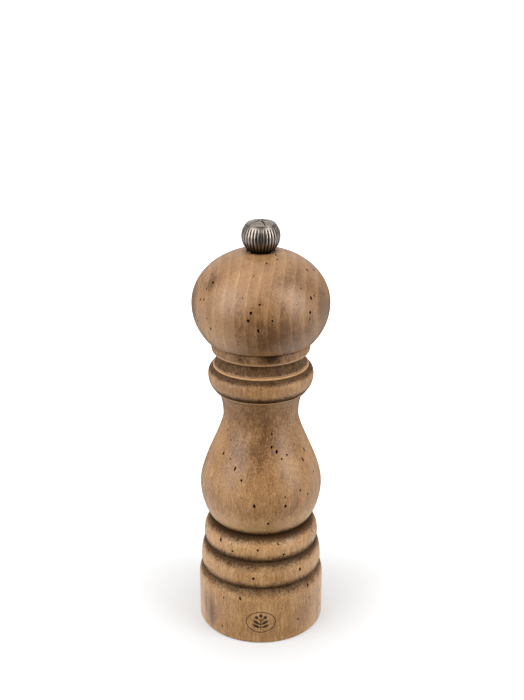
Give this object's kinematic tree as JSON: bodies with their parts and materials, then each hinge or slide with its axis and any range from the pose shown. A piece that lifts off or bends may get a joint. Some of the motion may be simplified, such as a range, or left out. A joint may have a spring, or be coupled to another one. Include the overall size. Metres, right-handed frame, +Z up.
{
  "type": "pepper mill",
  "caption": "Turned wooden pepper mill with a flattened ball head, fluted metal top knob, square shaft and toothed steel grinder in the base.",
  "frame": {"origin": "centre of the foot ring, on the surface the mill stands on", "axes": "+Z up along the shaft; +Y and -Y are clear of the bridge bars, which run along X"},
  "size_m": [0.056, 0.056, 0.18],
  "materials": {
    "beech": "waxed, stained dark in the grooves",
    "pewter": "antiqued, polished high spots",
    "plated_steel": "zinc plated",
    "tool_steel": "hardened, oiled",
    "spring_steel": "drawn wire",
    "brass": "turned"
  },
  "bodies": {
    "body": {"turned_body": "beech", "grinder_housing": "plated_steel", "stator_ring": "tool_steel", "foot_bridge": "plated_steel", "spring_bridge": "plated_steel", "bridge_screw_1": "plated_steel", "bridge_screw_2": "plated_steel"},
    "washer": {"thrust_washer": "brass", "grind_spring": "spring_steel"},
    "shaft": {"drive_shaft": "plated_steel", "rotor_burr": "tool_steel", "rotor_clip": "spring_steel"},
    "head": {"head_ball": "beech", "drive_plate": "plated_steel", "head_eyelet": "brass", "plate_screw_1": "plated_steel", "plate_screw_2": "plated_steel", "plate_screw_3": "plated_steel"},
    "knob": {"knob_shell": "pewter", "knob_cap": "pewter", "knob_insert": "brass"}
  },
  "joints": [
    {"name": "head_turn", "type": "hinge", "parent": "body", "child": "washer", "pos_m": [0, 0, 0.031], "axis": [0, 0, 1], "continuous": true},
    {"name": "grind_setting", "type": "slide", "parent": "washer", "child": "shaft", "axis": [0, 0, 1], "range_m": [-0.0012, 0.00024], "deforming": ["grind_spring"]},
    {"name": "head_lift", "type": "slide", "parent": "washer", "child": "head", "axis": [0, 0, 1], "range_m": [0, 0.065]},
    {"name": "knob_turn", "type": "hinge", "parent": "head", "child": "knob", "pos_m": [0, 0, 0.174], "axis": [0, 0, 1], "range_deg": [-108, 540]}
  ],
  "couplings": [
    {"joint": "knob_turn", "follows": "grind_setting", "rad_per_m": -7854}
  ]
}
